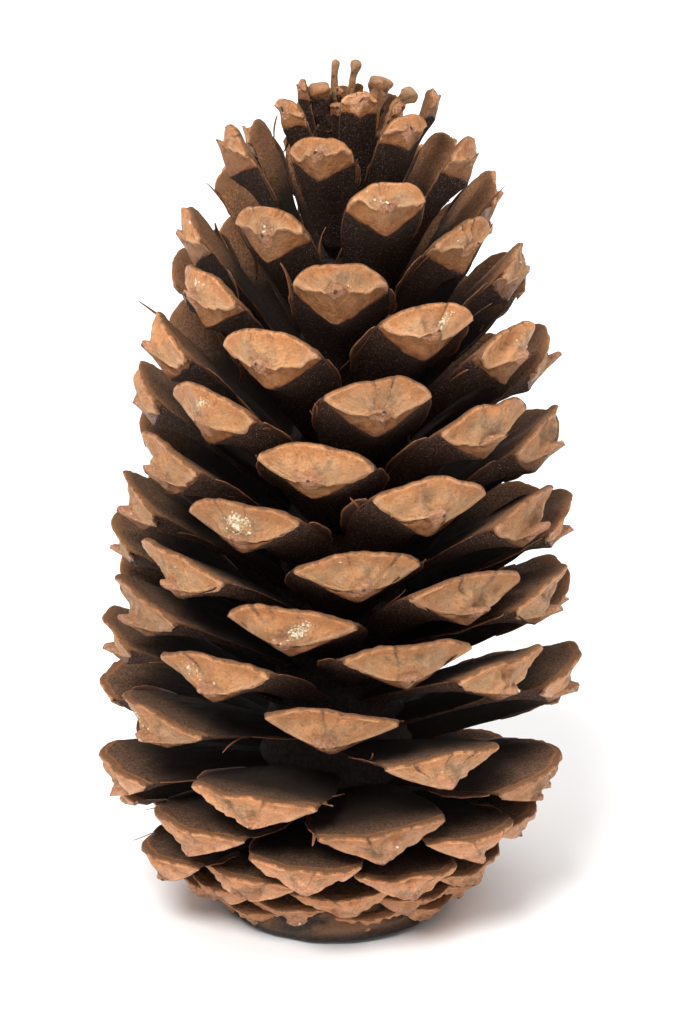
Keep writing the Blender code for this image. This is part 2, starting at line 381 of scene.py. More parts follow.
def makeScaleBand(bandName, plans, material):
    first, last, topPoints, bodyRings, faceRings = barkBands[bandName]
    points, faces = [], []
    marks = {name: [] for name in markNames + wholeNames}
    for plan in plans[first:last + 1]:
        draw = random.Random(coneShape["seed"] * 1000 + plan["number"])
        rings, ringMarks = scaleSurface(plan, draw, topPoints, bodyRings, faceRings)
        scaleRings[plan["number"]] = (rings, topPoints, bodyRings)
        start = len(points)
        ringSize = len(rings[0][0])
        # the last ring is a single point, the tip of the umbo
        for (across, back, lift), values in zip(rings[:-1], ringMarks[:-1]):
            points.extend(placeOnCone(plan, across, back, lift))
            for name, value in zip(markNames, values):
                marks[name].extend(value)
        tipAcross, tipBack, tipLift = (np.mean(part) for part in rings[-1])
        meshFromRings(faces, start, len(rings) - 1, ringSize, closeEnd=False)
        tip = len(points)
        points.append(placeOnCone(plan, tipAcross, tipBack, tipLift))
        for name, value in zip(markNames, ringMarks[-1]):
            marks[name].append(float(np.mean(value)))
        lastRing = tip - ringSize
        for j in range(ringSize):
            faces.append((lastRing + (j + 1) % ringSize, lastRing + j, tip))
        whole = (draw.random(), plan["openness"], tiltShare(plan, scaleShape["paintTilt"]))
        for name, value in zip(wholeNames, whole):
            marks[name].extend([value] * (len(points) - start))
    newPiece(bandName, points, faces, material, marks)


# Shader helpers
def addNode(tree, kind, inputs=None, **settings):
    node = tree.nodes.new(kind)
    for name, value in settings.items():
        setattr(node, name, value)
    for key, value in (inputs or {}).items():
        if isinstance(value, bpy.types.NodeSocket):
            tree.links.new(value, node.inputs[key])
        else:
            node.inputs[key].default_value = value
    return node


def readMark(tree, name):
    return addNode(tree, "ShaderNodeAttribute", attribute_name=name, attribute_type="GEOMETRY").outputs["Fac"]


def mathOf(operation, *values):
    tree = next(v for v in values if isinstance(v, bpy.types.NodeSocket)).id_data
    return addNode(tree, "ShaderNodeMath", dict(enumerate(values)), operation=operation).outputs[0]


def productOf(product, *factors):
    for factor in factors:
        product = mathOf("MULTIPLY", product, factor)
    return product


def rangeOf(value, low, high, toLow=0.0, toHigh=1.0, kind="SMOOTHSTEP"):
    limits = {"Value": value, "From Min": low, "From Max": high, "To Min": toLow, "To Max": toHigh}
    return addNode(value.id_data, "ShaderNodeMapRange", limits, interpolation_type=kind).outputs["Result"]


def mixOf(share, a, b):
    a, b = (v if isinstance(v, bpy.types.NodeSocket) else (*v, 1.0) for v in (a, b))
    return addNode(share.id_data, "ShaderNodeMix", {0: share, 6: a, 7: b}, data_type="RGBA").outputs[2]


def shaded(color, share):
    return tuple(share * v for v in color)


def timesOf(color, share):
    # A color made darker or paler by a value that changes over the surface
    tree = share.id_data
    times = addNode(tree, "ShaderNodeCombineXYZ", {"X": share, "Y": share, "Z": share}).outputs[0]
    return addNode(tree, "ShaderNodeVectorMath", {0: color, 1: times}, operation="MULTIPLY").outputs[0]


def addBump(shader, height, strength, depth):
    tree = shader.id_data
    bump = addNode(tree, "ShaderNodeBump", {"Height": height, "Strength": strength, "Distance": depth})
    tree.links.new(bump.outputs[0], shader.inputs["Normal"])


def noiseOf(vector, scale, detail=3.0, roughness=0.55):
    inputs = {"Vector": vector, "Scale": scale, "Detail": detail, "Roughness": roughness}
    return addNode(vector.id_data, "ShaderNodeTexNoise", inputs).outputs["Fac"]


def newGroup(name, inputs, outputs):
    group = bpy.data.node_groups.new(name, "ShaderNodeTree")
    for label, kind, value in inputs:
        socket = group.interface.new_socket(label, in_out="INPUT", socket_type=kind)
        if value is not None:
            socket.default_value = value
    for label, kind in outputs:
        group.interface.new_socket(label, in_out="OUTPUT", socket_type=kind)
    return group, group.nodes.new("NodeGroupInput"), group.nodes.new("NodeGroupOutput")


def useGroup(tree, group, inputs):
    return addNode(tree, "ShaderNodeGroup", inputs, node_tree=group)


def newMaterial(name):
    material = bpy.data.materials.new(name)
    material.use_nodes = True
    return material, material.node_tree, material.node_tree.nodes["Principled BSDF"]


def makeSpeckleGroup():
    # Fine pale specks on dark bark, and the grain between them
    group, given, out = newGroup("barkSpeckle", [
        ("Vector", "NodeSocketVector", None),
        ("Size", "NodeSocketFloat", 0.25),
        ("Amount", "NodeSocketFloat", 0.5),
    ], [("Specks", "NodeSocketFloat"), ("Grain", "NodeSocketFloat")])
    scale = mathOf("DIVIDE", 1000.0, given.outputs["Size"])
    cells = addNode(group, "ShaderNodeTexVoronoi", {"Vector": given.outputs["Vector"], "Scale": scale})
    near = rangeOf(cells.outputs["Distance"], 0.28, 0.12)
    chosen = addNode(group, "ShaderNodeSeparateColor", {"Color": cells.outputs["Color"]}).outputs[0]
    limit = mathOf("SUBTRACT", 1.0, given.outputs["Amount"])
    lit = mathOf("GREATER_THAN", chosen, limit)
    specks = productOf(near, lit)
    grain = noiseOf(given.outputs["Vector"], mathOf("MULTIPLY", scale, 0.8), 4.0, 0.65)
    group.links.new(specks, out.inputs["Specks"])
    group.links.new(grain, out.inputs["Grain"])
    return group


def makeFibreGroup():
    # Streaks that run along a scale, from marks across it and along it
    group, given, out = newGroup("woodFibre", [
        ("Across", "NodeSocketFloat", 0.0),
        ("Along", "NodeSocketFloat", 0.0),
        ("Luck", "NodeSocketFloat", 0.0),
        ("Fineness", "NodeSocketFloat", 30.0),
    ], [("Streaks", "NodeSocketFloat")])
    across = mathOf("MULTIPLY", given.outputs["Across"], given.outputs["Fineness"])
    shift = mathOf("MULTIPLY", given.outputs["Luck"], 91.0)
    place = addNode(group, "ShaderNodeCombineXYZ", {"X": across, "Y": given.outputs["Along"], "Z": shift})
    streaks = noiseOf(place.outputs[0], 1.0, 3.0, 0.6)
    group.links.new(streaks, out.inputs["Streaks"])
    return group


barkLook = {
    "faceTan": (0.56, 0.25, 0.1),
    "faceGrey": (0.46, 0.27, 0.142),
    "hollowGrey": (0.25, 0.155, 0.085),
    "faceOrange": (0.45, 0.17, 0.056),
    "faceBrown": (0.21, 0.085, 0.035),
    "faceLow": (0.66, 0.32, 0.18),
    "faceEdge": (0.13, 0.045, 0.018),
    "creaseGrey": (0.085, 0.048, 0.03),
    "umboPink": (0.52, 0.26, 0.15),
    "umboBrown": (0.33, 0.15, 0.08),
    "facetShadeBrown": (0.18, 0.064, 0.019),
    "paintedHighlight": (0.68, 0.38, 0.205),
    "umboDark": (0.05, 0.022, 0.013),
    "crust": (0.75, 0.62, 0.45),
    "upperGrain": (0.145, 0.076, 0.043),
    "upperDeepShade": (0.014, 0.007, 0.0045),
    "upperTan": (0.3, 0.135, 0.06),
    "upperRim": (0.21, 0.1, 0.047),
    "rimLine": (0.48, 0.17, 0.045),
    "underDark": (0.0085, 0.0034, 0.0021),
    "underBrown": (0.052, 0.022, 0.0135),
    "speck": (0.44, 0.32, 0.25),
    "sideBrown": (0.12, 0.038, 0.016),
    "underPaintedLight": 2.3,      # painted light: how much paler the open scales are painted underneath, where they would lie in shade
    "closedShadeNearer": 3.4,    # painted shade: how much nearer the margin a closed scale's upper side darkens, mm
    "unevenness": 0.9,
    "toneSpread": (0.9, 1.22),
    # scale, detail and roughness of the broad, patchy, middle and fine noises, and of the umbo's
    "noises": [(330.0, 3.0), (800.0, 4.0, 0.62), (1700.0, 5.0, 0.7), (3400.0, 4.0, 0.7), (620.0, 3.0, 0.6)],
    "fibreAlong": 0.8,
    "fibreFineness": 14.0,
    "speckles": {"Size": 0.21, "Amount": 0.68},
    "relief": (0.5, 0.5, 0.7, 0.8),  # of the streaks, and the fine, patchy and middle noises
    "faceRoughness": (0.26, 0.55),
    "bodyRoughness": 0.92,
    "specular": 0.34,
    "specularTint": (1.0, 0.88, 0.76),
    "reliefStrength": 0.7,
    "reliefDepth": 0.0006,
}


def makeBark(speckle, fibre):
    look = barkLook
    material, tree, shader = newMaterial("coneBark")
    shader.inputs["Specular IOR Level"].default_value = look["specular"]
    shader.inputs["Specular Tint"].default_value = (*look["specularTint"], 1.0)
    place = addNode(tree, "ShaderNodeTexCoord").outputs["Object"]
    faceReach, upperSide = readMark(tree, "faceReach"), readMark(tree, "upperSide")
    across, umboReach = readMark(tree, "acrossShare"), readMark(tree, "umboReach")
    crease, luck = readMark(tree, "crease"), readMark(tree, "scaleLuck")
    backReach, openShare = readMark(tree, "backReach"), readMark(tree, "openShare")
    upright, fromMiddle = readMark(tree, "uprightShare"), mathOf("ABSOLUTE", across)
    broad, patchy, middle, fine, umboNoise = (noiseOf(place, *given) for given in look["noises"])
    along = productOf(backReach, look["fibreAlong"])
    streaks = useGroup(tree, fibre, {"Across": across, "Along": along, "Luck": luck,
                                     "Fineness": look["fibreFineness"]}).outputs["Streaks"]
    speckles = useGroup(tree, speckle, {"Vector": place, **look["speckles"]})
    specks, rough = speckles.outputs["Specks"], speckles.outputs["Grain"]

    # where the tan face starts, with an uneven edge
    uneven = productOf(mathOf("SUBTRACT", patchy, 0.5), look["unevenness"])
    wrap = mathOf("POWER", fromMiddle, 3.0)
    wrap = productOf(wrap, rangeOf(upright, 0.0, 1.0, 0.1, 1.5, "LINEAR"))
    lower = mathOf("SUBTRACT", 1.0, upperSide)
    unevenReach = mathOf("MULTIPLY_ADD", wrap, lower, mathOf("ADD", faceReach, uneven))
    faceShare = rangeOf(unevenReach, -0.15, 0.1)

    # underside of the body
    under = mixOf(rangeOf(rough, 0.4, 0.66), look["underDark"], look["underBrown"])
    under = mixOf(productOf(specks, rangeOf(fine, 0.4, 0.6)), under, look["speck"])
    # painted light: the undersides of all but the upright scales are made paler
    under = timesOf(under, rangeOf(upright, 0.0, 0.8, look["underPaintedLight"], 1.0))

    # upper side of the body: grainy, with painted shade darkening it towards the root, tan along its rim
    closer = productOf(mathOf("SUBTRACT", 1.0, openShare), look["closedShadeNearer"])
    shadeReach = mathOf("ADD", mathOf("MULTIPLY_ADD", uneven, 3.0, backReach), closer)
    grain = rangeOf(rough, 0.3, 0.7)
    upper = mixOf(grain, shaded(look["upperGrain"], 0.35), shaded(look["upperGrain"], 1.6))
    upper = mixOf(productOf(specks, 0.5), upper, look["speck"])
    # painted shade between the scales: the upper side goes dark towards the root
    upper = mixOf(rangeOf(shadeReach, 3.2, 9.0), upper, look["upperDeepShade"])
    # the upright scales of the crown are tan inside too
    inside = mixOf(grain, shaded(look["upperTan"], 0.6), shaded(look["upperTan"], 1.4))
    insideShare = productOf(upright, rangeOf(shadeReach, 8.5, 2.5, 0.0, 0.85))
    upper = mixOf(insideShare, upper, inside)
    rimReach = mathOf("ADD", faceReach, productOf(uneven, 1.3))
    rimStart = rangeOf(openShare, 0.2, 0.9, -1.2, -1.7)
    rim = mixOf(fine, shaded(look["upperRim"], 0.5), shaded(look["upperRim"], 1.3))
    upper = mixOf(rangeOf(rimReach, rimStart, -0.3), upper, rim)
    line = productOf(rangeOf(rimReach, -0.95, -0.75), rangeOf(rimReach, -0.5, -0.7),
                     rangeOf(openShare, 0.9, 0.4, 0.1, 0.5))
    upper = mixOf(line, upper, look["rimLine"])
    body = mixOf(upperSide, under, upper)
    side = productOf(rangeOf(fromMiddle, 0.965, 0.995), rangeOf(patchy, 0.35, 0.6, 0.1, 0.9))
    body = mixOf(side, body, look["sideBrown"])

    # the face: tan, greyer in its hollow, orange along its edges
    warmth = mathOf("FRACT", productOf(luck, 7.0))
    greyer = mathOf("MULTIPLY_ADD", warmth, 0.35, rangeOf(broad, 0.36, 0.64, 0.0, 0.75))
    face = mixOf(greyer, look["faceTan"], look["faceGrey"])
    face = mixOf(rangeOf(openShare, 0.85, 0.1, 0.0, 0.75), face, look["faceLow"])
    hollow = productOf(rangeOf(unevenReach, 0.6, 1.8), upperSide, rangeOf(fromMiddle, 0.85, 0.45),
                       rangeOf(patchy, 0.4, 0.6, 0.1, 0.85), rangeOf(broad, 0.35, 0.6, 0.3, 1.0))
    face = mixOf(hollow, face, look["hollowGrey"])
    edgeReach = mathOf("MULTIPLY_ADD", uneven, 1.6, faceReach)
    face = mixOf(rangeOf(edgeReach, 1.7, 0.2, 0.0, 0.75), face, look["faceOrange"])
    # blotches and flecks: what makes them, where they start and are full, how strong, their colour. The pale
    # and dark flecks of the middle and fine noises are partly painted highlight and painted shade of small
    # bumps and pits, partly the face's own mottling
    for noise, start, full, most, color in ((patchy, 0.52, 0.74, 0.55, look["faceBrown"]),
                                            (streaks, 0.55, 0.72, 0.22, look["faceBrown"]),
                                            (middle, 0.46, 0.34, 0.35, shaded(look["faceTan"], 1.25)),
                                            (middle, 0.54, 0.68, 0.42, look["faceBrown"]),
                                            (fine, 0.46, 0.3, 0.35, shaded(look["faceTan"], 1.3)),
                                            (fine, 0.56, 0.7, 0.5, look["faceBrown"])):
        face = mixOf(rangeOf(noise, start, full, 0.0, most), face, color)
    # the lower facet painted browner and darker as shade, partly its own warmer colour; the keel painted pale
    # as a highlight; the margin pale from rubbed wear and a painted highlight
    facet = productOf(lower, rangeOf(patchy, 0.36, 0.62, 1.0, 0.68),
                      rangeOf(openShare, 0.1, 0.8, 0.62, 1.0), rangeOf(upright, 0.3, 1.0, 1.0, 0.85))
    face = mixOf(facet, face, look["facetShadeBrown"])
    # painted highlight: the keel from corner to umbo painted pale where light catches it
    keel = productOf(rangeOf(fromMiddle, 0.9, 0.985), rangeOf(umboReach, 0.6, 1.6),
                     rangeOf(fine, 0.35, 0.6, 0.2, 0.8))
    face = mixOf(keel, face, look["paintedHighlight"])
    # the margin painted pale: partly rubbed wear, partly painted highlight on its rolled lip
    wornAndLitMargin = productOf(rangeOf(faceReach, 0.0, 0.12), rangeOf(faceReach, 0.34, 0.16),
                       upperSide, rangeOf(patchy, 0.46, 0.6, 0.0, 0.6))
    face = mixOf(wornAndLitMargin, face, look["paintedHighlight"])
    darkEdge = productOf(rangeOf(unevenReach, 0.6, 0.0, 0.0, 0.85), lower)
    face = mixOf(darkEdge, face, look["faceEdge"])
    # painted shade darkens the creases of the scales; on the pegs the same mark darkens the stems and the
    # ring below each head
    creased = productOf(rangeOf(crease, 0.25, 0.9), rangeOf(fine, 0.35, 0.55, 0.25, 0.95))
    face = mixOf(creased, face, look["creaseGrey"])
    # the umbo: an uneven pink patch with cracks, pale crumbs and its dark prickle mark
    umboUneven = productOf(mathOf("SUBTRACT", umboNoise, 0.5), 3.4)
    umboSize = rangeOf(upright, 0.0, 1.0, 1.5, 1.0, "LINEAR")
    umboAt = mathOf("DIVIDE", mathOf("ADD", umboReach, umboUneven), umboSize)
    umbo = mixOf(rangeOf(fine, 0.42, 0.58), look["umboBrown"], look["umboPink"])
    crumb = productOf(rangeOf(fine, 0.6, 0.7), rangeOf(patchy, 0.45, 0.6),
                      rangeOf(openShare, 0.2, 0.8, 0.3, 1.0))
    umbo = mixOf(crumb, umbo, look["crust"])
    face = mixOf(rangeOf(umboAt, 1.0, 0.6, 0.0, 0.9), face, umbo)
    offRing = mathOf("ABSOLUTE", mathOf("SUBTRACT", umboAt, 0.97))
    face = mixOf(rangeOf(offRing, 0.2, 0.0, 0.0, 0.3), face, look["creaseGrey"])
    face = mixOf(rangeOf(umboReach, 0.3, 0.14, 0.0, 0.9), face, look["umboDark"])
    # each scale a little darker or paler than the next
    tone = rangeOf(luck, 0.0, 1.0, *look["toneSpread"], "LINEAR")
    tone = productOf(tone, rangeOf(upright, 0.2, 1.0, 1.0, 1.06))
    face = timesOf(face, tone)
    tree.links.new(mixOf(faceShare, body, face), shader.inputs["Base Color"])

    gloss = rangeOf(patchy, 0.35, 0.7, *look["faceRoughness"])
    roughness = addNode(tree, "ShaderNodeMix", {0: faceShare, 2: look["bodyRoughness"], 3: gloss})
    tree.links.new(roughness.outputs[0], shader.inputs["Roughness"])

    # fine relief: fibres and pits on the face, grain on the body
    faceRelief = productOf(streaks, look["relief"][0])
    for noise, share in zip((fine, patchy, middle), look["relief"][1:]):
        faceRelief = mathOf("MULTIPLY_ADD", noise, share, faceRelief)
    bodyRelief = mathOf("ADD", productOf(rough, 0.8), specks)
    relief = addNode(tree, "ShaderNodeMix", {0: faceShare, 2: bodyRelief, 3: faceRelief}).outputs[0]
    addBump(shader, relief, look["reliefStrength"], look["reliefDepth"])
    return material


coreLook = {
    # height and radius of its outline, mm
    "profile": [(0.0, 0.0), (0.25, 2.6), (0.05, 3.3), (0.5, 6.0), (0.2, 10.4), (0.6, 12.0),
                (2.4, 12.6), (5.4, 12.6), (8.0, 13.4), (10.5, 11.6), (15.0, 8.2), (22.0, 6.4),
                (46.0, 5.6), (62.0, 4.3), (72.0, 3.1), (79.0, 1.9), (84.0, 0.8), (84.4, 0.0)],
    "baseNarrow": 0.06,
    "baseDeep": 0.1,
    "sides": 96,
    "ringStep": 0.5,
    "rough": 0.35,
    "dark": (0.014, 0.007, 0.0045),
    "brown": (0.05, 0.025, 0.015),
    "base": (0.2, 0.094, 0.043),
}


def makeCoreMaterial(speckle):
    material, tree, shader = newMaterial("coneCore")
    place = addNode(tree, "ShaderNodeTexCoord").outputs["Object"]
    specks = useGroup(tree, speckle, {"Vector": place, "Size": 0.4, "Amount": 0.3})
    bark = mixOf(rangeOf(specks.outputs["Grain"], 0.35, 0.7), coreLook["dark"], coreLook["brown"])
    height = addNode(tree, "ShaderNodeSeparateXYZ", {"Vector": place}).outputs["Z"]
    foot = productOf(rangeOf(height, 0.0008, 0.002), rangeOf(height, 0.0055, 0.0035),
                     rangeOf(noiseOf(place, 260.0), 0.4, 0.6))
    bark = mixOf(foot, bark, coreLook["base"])
    tree.links.new(bark, shader.inputs["Base Color"])
    shader.inputs["Roughness"].default_value = 0.8
    addBump(shader, specks.outputs["Grain"], 0.9, 0.0009)
    return material


def makeCore(material):
    # The axis with the roots grown together round it, turned and then roughened
    look = coreLook
    draw = random.Random(31)
    uneven = waves(draw, 8, 1.0, 6.0)
    outline = []
    for (z0, r0), (z1, r1) in zip(look["profile"], look["profile"][1:]):
        steps = max(1, round(math.hypot(z1 - z0, r1 - r0) / look["ringStep"]))
        outline.extend((z0 + (z1 - z0) * i / steps, r0 + (r1 - r0) * i / steps) for i in range(steps))
    outline.append(look["profile"][-1])
    points, faces = [], []
    turn = np.linspace(0, math.tau, look["sides"], endpoint=False)
    inner = outline[1:-1]
    for z, r in inner:
        wobble = uneven(turn * 2, z * 0.6 + 0 * turn) * look["rough"] * min(r / 4, 1)
        radius = r + wobble * np.sin(turn * 3 + z) ** 2
        low = limited((7.5 - z) / 3)
        wide, deep = 1 - look["baseNarrow"] * low, 1 + look["baseDeep"] * low
        points.extend(leaned(wide * radius * np.cos(turn), deep * radius * np.sin(turn), z + 0 * turn))
    meshFromRings(faces, 0, len(inner), look["sides"])
    newPiece("coneCore", points, faces, material)


# The thin papery wings that run along the sides of the bodies, and slivers that have peeled off
wingLook = {
    "seed": 77,
    "first": 22,
    "afterLast": 146,
    "share": 0.62,          # how many sides keep a wing
    "width": (0.35, 1.15),
    "thickness": 0.07,
    "stations": 18,
    "afterLastSliver": 150,
    "sliverShare": 0.3,
    "crownSliverShare": 1.0,
    "crownFrom": 108,
    "sliverLength": (2.5, 6.5),
    "sliverWidth": (0.18, 0.5),
    # scale, side, where it starts from root 0 to corner 1, length, width, outward, upward
    "chosen": [
        (64, 1, 0.60, 4.6, 0.42, 0.8, -1.6),
        (109, -1, 0.62, 2.2, 0.22, 0.9, 1.0),
        (117, 1, 0.45, 6.0, 0.6, 2.6, 1.8),
        (54, -1, 0.86, 2.6, 0.6, 0.5, -0.9),
        (59, 1, 0.88, 2.8, 0.7, 1.6, 0.4),
        (62, -1, 0.72, 4.2, 0.35, 0.7, 1.2),
        (127, 1, 0.70, 4.0, 0.35, 1.0, 1.4),
        (132, -1, 0.66, 4.2, 0.4, 0.7, -0.8),
        (96, -1, 0.80, 2.0, 0.6, 0.9, 0.7),
    ],
    "dark": (0.022, 0.010, 0.006),
    "brown": (0.10, 0.036, 0.016),
    "orange": (0.40, 0.16, 0.062),
}


def makePaperMaterial(speckle):
    material, tree, shader = newMaterial("wingPaper")
    place = addNode(tree, "ShaderNodeTexCoord").outputs["Object"]
    edge, hue = readMark(tree, "edgeShare"), readMark(tree, "hue")
    grain = useGroup(tree, speckle, {"Vector": place, "Size": 0.3, "Amount": 0.3}).outputs["Grain"]
    paper = mixOf(rangeOf(grain, 0.35, 0.7), wingLook["dark"], wingLook["brown"])
    rim = mixOf(rangeOf(grain, 0.3, 0.6), wingLook["brown"], wingLook["orange"])
    paper = mixOf(rangeOf(edge, 0.7, 1.0), paper, rim)
    paper = mixOf(hue, paper, mixOf(grain, wingLook["brown"], wingLook["orange"]))
    tree.links.new(paper, shader.inputs["Base Color"])
    tree.links.new(rangeOf(grain, 0.3, 0.7, 0.45, 0.7), shader.inputs["Roughness"])
    addBump(shader, grain, 0.6, 0.0001)
    return material


def addStrip(points, faces, marks, plan, path, widths, twists, hue, flat=False):
    # A thin closed strip along a path in a scale's own measures. A flat one starts at the path.
    half = wingLook["thickness"] / 2
    start = len(points)
    for (across, back, lift), width, twist in zip(path, widths, twists):
        wide = (math.cos(twist), math.sin(twist))
        low, high = (0.0, width) if flat else (-width / 2, width / 2)
        mid = (low + high) / 2
        for along, thick, edge in ((low, half, 0.0), (mid, half, 0.45), (high, 0.5 * half, 1.0),
                                   (high, -0.5 * half, 1.0), (mid, -half, 0.45), (low, -half, 0.0)):
            a = across + along * wide[0] - thick * wide[1]
            b = lift + along * wide[1] + thick * wide[0]
            points.append(placeOnCone(plan, a, np.float64(back), b))
            marks["edgeShare"].append(edge)
            marks["hue"].append(hue)
    meshFromRings(faces, start, len(path), 6)


def makeWings(plans, material):
    look = wingLook
    draw = random.Random(look["seed"])
    points, faces = [], []
    marks = {"edgeShare": [], "hue": []}

    def sidePoint(number, side, share):
        rings, topPoints, bodyRings = scaleRings[number]
        at = (1 - (1 - share) ** 0.5) * (bodyRings - 1)
        i = min(int(at), bodyRings - 2)
        column = topPoints - 1 if side > 0 else 0
        near = [rings[i][k][column] for k in range(3)]
        far = [rings[i + 1][k][column] for k in range(3)]
        return [p + (q - p) * (at - i) for p, q in zip(near, far)]

    for plan in plans[look["first"]:]:
        number = plan["number"]
        for side in (-1, 1):
            if draw.random() < look["share"] and number < look["afterLast"]:
                low, high = draw.uniform(0.4, 0.68), draw.uniform(0.86, 0.985)
                most = draw.uniform(*look["width"]) * min(plan["width"] / 11, 1)
                ragged = waves(draw, 4, 3.0, 11.0)
                curl = draw.uniform(-0.5, 0.9)
                path, widths, twists = [], [], []
                for i in range(look["stations"]):
                    u = i / (look["stations"] - 1)
                    across, back, lift = sidePoint(number, side, low + (high - low) * u)
                    path.append((across - side * 0.12, back, lift))
                    width = most * math.sin(math.pi * (0.06 + 0.9 * u)) ** 0.6
                    width *= 1 + 0.16 * float(ragged(u, u))
                    widths.append(side * (0.12 + width))
                    twists.append(side * curl * (0.4 + 0.6 * u))
                addStrip(points, faces, marks, plan, path, widths, twists, 0.0, flat=True)
            crown = number >= look["crownFrom"]
            sliverShare = look["crownSliverShare"] if crown else look["sliverShare"]
            if draw.random() < sliverShare and number < look["afterLastSliver"]:
                begin = draw.uniform(0.45, 0.85)
                longer = 1.25 if crown else 1
                length = draw.uniform(*look["sliverLength"]) * longer * min(plan["width"] / 9, 1)
                width = draw.uniform(*look["sliverWidth"]) * (1.8 if crown else 1)
                outward, upward = draw.uniform(0.1, 1.1), draw.uniform(-0.9, 0.9)
                sliver = (number, side, begin, length, width, outward, upward, draw.choice((1, 1, -1)))
                sliverStrip(points, faces, marks, plan, sidePoint, sliver, draw)
    for number, side, begin, length, width, outward, upward in look["chosen"]:
        sliverStrip(points, faces, marks, plans[number], sidePoint,
                    (number, side, begin, length, width, outward, upward, 1), draw, 0.8)
    newPiece("paperWings", points, faces, material, marks)


def sliverStrip(points, faces, marks, plan, sidePoint, sliver, draw, hue=None):
    number, side, begin, length, width, outward, upward, towards = sliver
    across, back, lift = sidePoint(number, side, begin)
    turnBy, sway = draw.uniform(-1.4, 1.4), draw.uniform(-0.25, 0.25)
    hue = draw.uniform(0.1, 0.9) ** 1.5 if hue is None else hue
    path, widths, twists = [], [], []
    for i in range(10):
        u = i / 9
        path.append((across + side * (outward * u ** 1.6 + sway * math.sin(5 * u) - 0.15 * (1 - u)),
                     back - towards * length * (u - 0.12 * u ** 3), lift + upward * u ** 2))
        widths.append(width * (1 - 0.75 * u ** 1.5) * (0.5 + 0.5 * min(1, 5 * u)))
        twists.append(0.6 + turnBy * u)
    addStrip(points, faces, marks, plan, path, widths, twists, hue)


# Dried resin: pale crusts of small drops on some faces, and single clear beads
resinLook = {
    "seed": 5,
    # scale, across from -1 to 1, down from margin 0 to umbo 1, spread of each, drops, size in mm
    "crusts": [
        (93, 0.02, 0.48, 0.26, 0.20, 210, 0.11),
        (80, 0.42, 0.50, 0.13, 0.24, 120, 0.11),
        (80, 0.20, 0.45, 0.12, 0.12, 24, 0.09),
        (106, 0.05, 0.40, 0.18, 0.16, 60, 0.09),
        (119, 0.10, 0.45, 0.15, 0.15, 16, 0.13),
        (117, 0.50, 0.40, 0.14, 0.18, 26, 0.13),
        (127, 0.10, 0.75, 0.10, 0.10, 14, 0.12),
        (130, -0.55, 0.75, 0.12, 0.20, 16, 0.11),
        (72, -0.35, 0.35, 0.12, 0.12, 16, 0.12),
        (64, -0.30, 0.40, 0.12, 0.16, 16, 0.12),
    ],
    "beadEvery": (20, 148),
    "beads": 110,
    "beadSize": (0.07, 0.2),
    "cream": (0.68, 0.59, 0.43),
    "amber": (0.42, 0.27, 0.13),
}


def makeResinMaterial():
    material, tree, shader = newMaterial("driedResin")
    place = addNode(tree, "ShaderNodeTexCoord").outputs["Object"]
    cloudy = noiseOf(place, 1500.0, 3.0)
    tone = mixOf(rangeOf(cloudy, 0.35, 0.62), resinLook["amber"], resinLook["cream"])
    tree.links.new(tone, shader.inputs["Base Color"])
    tree.links.new(rangeOf(cloudy, 0.3, 0.7, 0.12, 0.4), shader.inputs["Roughness"])
    return material


def facePoint(plan, share, down):
    # A point of a scale's upper face, and the way out from it, in metres.
    rings, topPoints, bodyRings = scaleRings[plan["number"]]
    faceRings = len(rings) - bodyRings

    def at(acrossShare, downShare):
        ring = bodyRings - 1 + min(max(downShare, 0), 0.99) * faceRings
        i = min(int(ring), len(rings) - 2)
        spot = []
        for k in range(3):
            pair = []
            for row in (rings[i], rings[i + 1]):
                columns = rings[0][0][:topPoints] / rings[0][0][topPoints - 1]
                pair.append(np.interp(acrossShare, columns, row[k][:topPoints]))
            spot.append(pair[0] + (pair[1] - pair[0]) * (ring - i))
        return placeOnCone(plan, spot[0], np.float64(spot[1]), spot[2])

    here = at(share, down)
    beside, below = at(share + 0.04, down) - here, at(share, down + 0.06) - here
    out = np.cross(below, beside)
    return here, out / np.linalg.norm(out)


def addDrop(points, faces, centre, out, size, draw):
    # A low, uneven drop of resin, round and half sunk in the face.
    side = np.cross(out, (0.3, 0.2, 0.93))
    side = side / np.linalg.norm(side)
    other = np.cross(out, side)
    sides, rows = 8, 5
    start = len(points)
    stretch, tall = draw.uniform(0.8, 1.4), draw.uniform(0.35, 0.75)
    for row in range(rows):
        angle = math.pi * (0.12 + 0.76 * row / (rows - 1))
        for j in range(sides):
            turn = math.tau * j / sides
            wobble = size * draw.uniform(0.85, 1.15) * math.sin(angle)
            points.append(centre + (side * math.cos(turn) * wobble * stretch + other * math.sin(turn) * wobble
                                    - out * math.cos(angle) * size * tall) * mm)
    meshFromRings(faces, start, rows, sides)


def makeResin(plans, material):
    draw = random.Random(resinLook["seed"])
    points, faces = [], []
    for number, share, down, wide, high, drops, size in resinLook["crusts"]:
        for _ in range(drops):
            nextAcross, nextDown = share + draw.gauss(0, wide) * 0.6, down + draw.gauss(0, high) * 0.6
            centre, out = facePoint(plans[number], nextAcross, nextDown)
            addDrop(points, faces, centre, out, size * draw.uniform(0.4, 1.25), draw)
    for _ in range(resinLook["beads"]):
        number = draw.randrange(*resinLook["beadEvery"])
        centre, out = facePoint(plans[number], draw.uniform(-0.8, 0.8), draw.uniform(0.12, 0.95))
        size = draw.uniform(*resinLook["beadSize"]) * min(plans[number]["width"] / 10, 1)
        addDrop(points, faces, centre, out, size, draw)
    newPiece("driedResin", points, faces, material)


